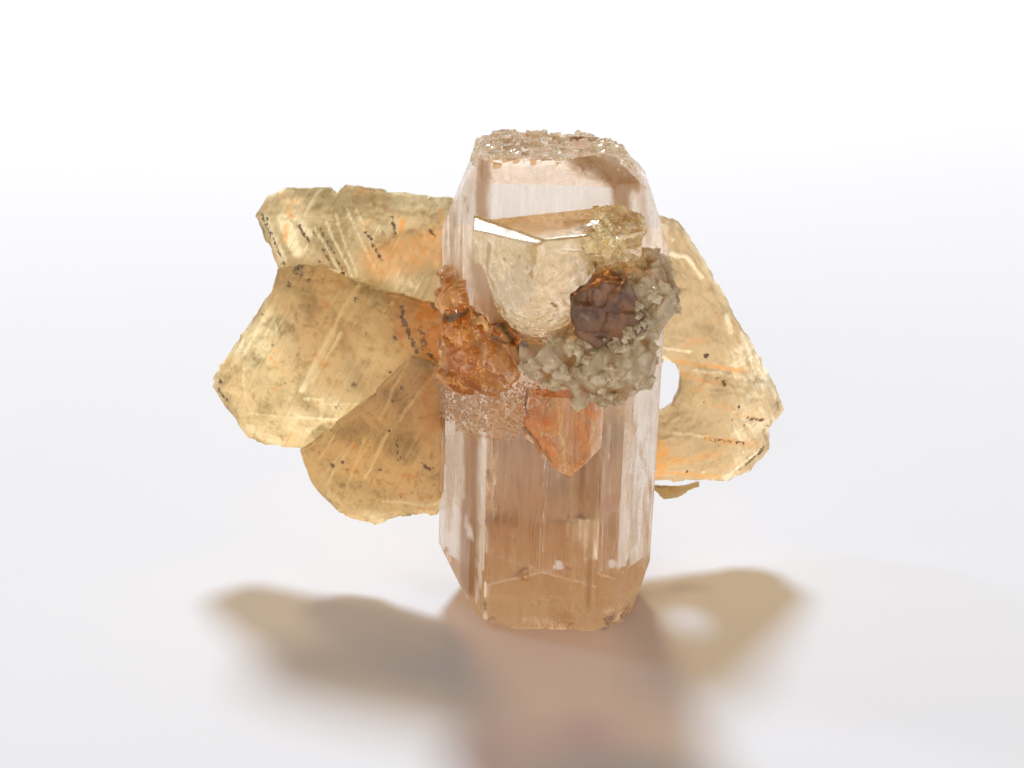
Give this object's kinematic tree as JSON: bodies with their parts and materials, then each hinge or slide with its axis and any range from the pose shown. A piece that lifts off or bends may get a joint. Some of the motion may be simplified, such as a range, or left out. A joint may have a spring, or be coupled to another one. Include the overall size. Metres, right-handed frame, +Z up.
{
  "type": "mineral specimen",
  "caption": "Clear beige topaz crystal standing on its base, with a small topaz, feldspar and crust on the front and mica books on both sides.",
  "frame": {"origin": "middle of the flat base of the main crystal, on the surface it stands on", "axes": "+Z up along the main crystal, +X to the right along the mica books, +Y away from the broad front face"},
  "size_m": [0.0443, 0.0214, 0.0339],
  "materials": {
    "topaz": "clear, faintly beige-pink, with glossy natural faces",
    "side_topaz": "clear, faintly greenish-gold, with a rounded shell fracture",
    "stained_quartz": "translucent, stained coral-orange",
    "iron_crust": "translucent amber crust with a wet gloss",
    "feldspar": "granular, greyish cream",
    "smoky_quartz": "dark purple-brown, part glossy",
    "mica": "golden-beige, pearly, layered in thin leaves"
  },
  "bodies": {
    "root": {"topaz_crystal": "topaz", "side_topaz": "side_topaz", "stained_tip": "stained_quartz", "smoky_grain": "smoky_quartz", "iron_crust": "iron_crust", "feldspar_matrix": "feldspar", "mica_upper_left": "mica", "mica_middle_left": "mica", "mica_lower_left": "mica", "mica_right": "mica", "mica_right_foot": "mica"}
  },
  "joints": []
}
